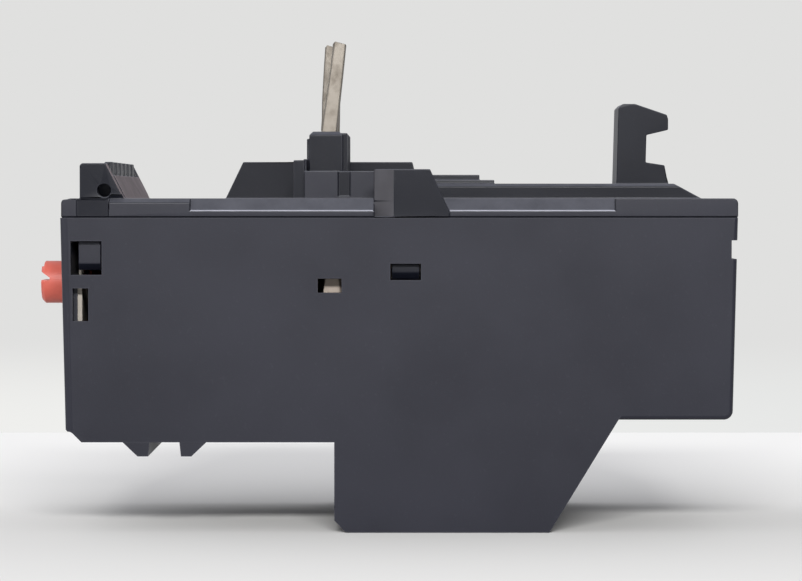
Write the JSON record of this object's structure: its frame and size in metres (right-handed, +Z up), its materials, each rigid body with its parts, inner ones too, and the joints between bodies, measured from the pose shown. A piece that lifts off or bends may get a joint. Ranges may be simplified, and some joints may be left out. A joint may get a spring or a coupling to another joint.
{
  "type": "thermal overload relay",
  "caption": "Thermal overload relay with line pins and a hook for plugging under a contactor, a stop button, a setting dial and screw terminals.",
  "frame": {"origin": "middle of the flat base of the load-terminal chin, on the middle plane between the side walls", "axes": "+Z up along the line pins, -Y towards the operator's face with the stop button, +X to the operator's right"},
  "size_m": [0.045, 0.0945, 0.0663],
  "materials": {
    "housing_plastic": "moulded glass-filled polyamide, fine spark texture",
    "cover_plastic": "moulded glass-filled polyamide",
    "ivory_plastic": "moulded, plain",
    "cream_plastic": "moulded, plain",
    "brown_plastic": "moulded thermoset",
    "red_plastic": "moulded",
    "blue_plastic": "moulded",
    "white_plastic": "moulded",
    "orange_plastic": "moulded",
    "clear_plastic": "clear polycarbonate",
    "tinned_copper": "tin plated",
    "plated_brass": "nickel plated",
    "plated_steel": "zinc plated",
    "spring_steel": "drawn wire",
    "bimetal_strip": "rolled strip",
    "heater_alloy": "rolled ribbon",
    "contact_silver": "silver faced"
  },
  "bodies": {
    "base": {"housing": "housing_plastic", "top_cover": "cover_plastic", "legend_plate": "ivory_plastic", "line_pin_1": "tinned_copper", "bimetal_1": "bimetal_strip", "heater_winding_1": "heater_alloy", "load_strip_1": "tinned_copper", "load_clamp_1": "plated_steel", "load_screw_1": "plated_steel", "line_pin_2": "tinned_copper", "bimetal_2": "bimetal_strip", "heater_winding_2": "heater_alloy", "load_strip_2": "tinned_copper", "load_clamp_2": "plated_steel", "load_screw_2": "plated_steel", "line_pin_3": "tinned_copper", "bimetal_3": "bimetal_strip", "heater_winding_3": "heater_alloy", "load_strip_3": "tinned_copper", "load_clamp_3": "plated_steel", "load_screw_3": "plated_steel", "aux_strip_97": "plated_brass", "aux_clamp_97": "plated_steel", "aux_screw_97": "plated_steel", "aux_strip_98": "plated_brass", "aux_clamp_98": "plated_steel", "aux_screw_98": "plated_steel", "aux_strip_95": "plated_brass", "aux_clamp_95": "plated_steel", "aux_screw_95": "plated_steel", "aux_strip_96": "plated_brass", "aux_clamp_96": "plated_steel", "aux_screw_96": "plated_steel", "bimetal_support": "brown_plastic", "mechanism_frame": "brown_plastic", "lever_pin": "plated_steel", "setting_arm_pin": "plated_steel", "stop_spring": "spring_steel", "reset_spring": "spring_steel"},
    "stop": {"stop_button": "red_plastic"},
    "reset": {"reset_plunger": "blue_plastic"},
    "reset_cap": {"reset_button": "blue_plastic"},
    "dial": {"dial": "white_plastic", "dial_cam": "white_plastic"},
    "window": {"window_cover": "clear_plastic"},
    "slide": {"trip_slider": "cream_plastic"},
    "differential": {"differential_slider": "cream_plastic"},
    "differential_arm": {"differential_lever": "cream_plastic"},
    "lever": {"trip_lever": "cream_plastic", "compensation_bimetal": "bimetal_strip"},
    "setting": {"setting_arm": "brown_plastic"},
    "carriage": {"contact_carriage": "cream_plastic", "nc_bridge": "contact_silver", "no_bridge": "contact_silver", "trip_flag": "orange_plastic"}
  },
  "joints": [
    {"name": "stop_press", "type": "slide", "parent": "base", "child": "stop", "axis": [0, 1, 0], "range_m": [0, 0.0025], "stiffness_N_per_m": 300, "springref_m": -0.002, "deforming": ["stop_spring"]},
    {"name": "reset_press", "type": "slide", "parent": "base", "child": "reset", "axis": [0, 1, 0], "range_m": [0, 0.0025], "stiffness_N_per_m": 300, "springref_m": -0.002, "deforming": ["reset_spring"]},
    {"name": "reset_select", "type": "hinge", "parent": "reset", "child": "reset_cap", "pos_m": [-0.0015, -0.0475, 0.0328], "axis": [0, 1, 0], "range_deg": [0, 90]},
    {"name": "dial_turn", "type": "hinge", "parent": "base", "child": "dial", "pos_m": [-0.0125, -0.0475, 0.0328], "axis": [0, 1, 0], "range_deg": [0, 270]},
    {"name": "window_open", "type": "hinge", "parent": "base", "child": "window", "pos_m": [-0.0089, -0.04965, 0.0403], "axis": [-1, 0, 0], "range_deg": [0, 100]},
    {"name": "trip_slide", "type": "slide", "parent": "base", "child": "slide", "axis": [-1, 0, 0], "range_m": [0, 0.0012]},
    {"name": "differential_slide", "type": "slide", "parent": "slide", "child": "differential", "axis": [1, 0, 0], "range_m": [0, 0.0009]},
    {"name": "differential_turn", "type": "hinge", "parent": "slide", "child": "differential_arm", "pos_m": [0.0035, -0.014, 0.0345], "axis": [0, 0, 1], "range_deg": [0, 25.5]},
    {"name": "trip_lever_turn", "type": "hinge", "parent": "base", "child": "lever", "pos_m": [0.009, -0.0196, 0.0306], "axis": [0, 0, 1], "range_deg": [0, 21.6]},
    {"name": "carriage_slide", "type": "slide", "parent": "base", "child": "carriage", "axis": [0, 1, 0], "range_m": [0, 0.0018]},
    {"name": "setting_arm_turn", "type": "hinge", "parent": "base", "child": "setting", "pos_m": [-0.009, -0.033, 0.0365], "axis": [0, 0, 1], "range_deg": [0, 9.2]}
  ],
  "couplings": [
    {"joint": "trip_lever_turn", "follows": "trip_slide", "rad_per_m": 312.5},
    {"joint": "carriage_slide", "follows": "trip_slide", "ratio": 1.5},
    {"joint": "differential_turn", "follows": "differential_slide", "rad_per_m": 489},
    {"joint": "setting_arm_turn", "follows": "dial_turn", "ratio": 0.034}
  ]
}
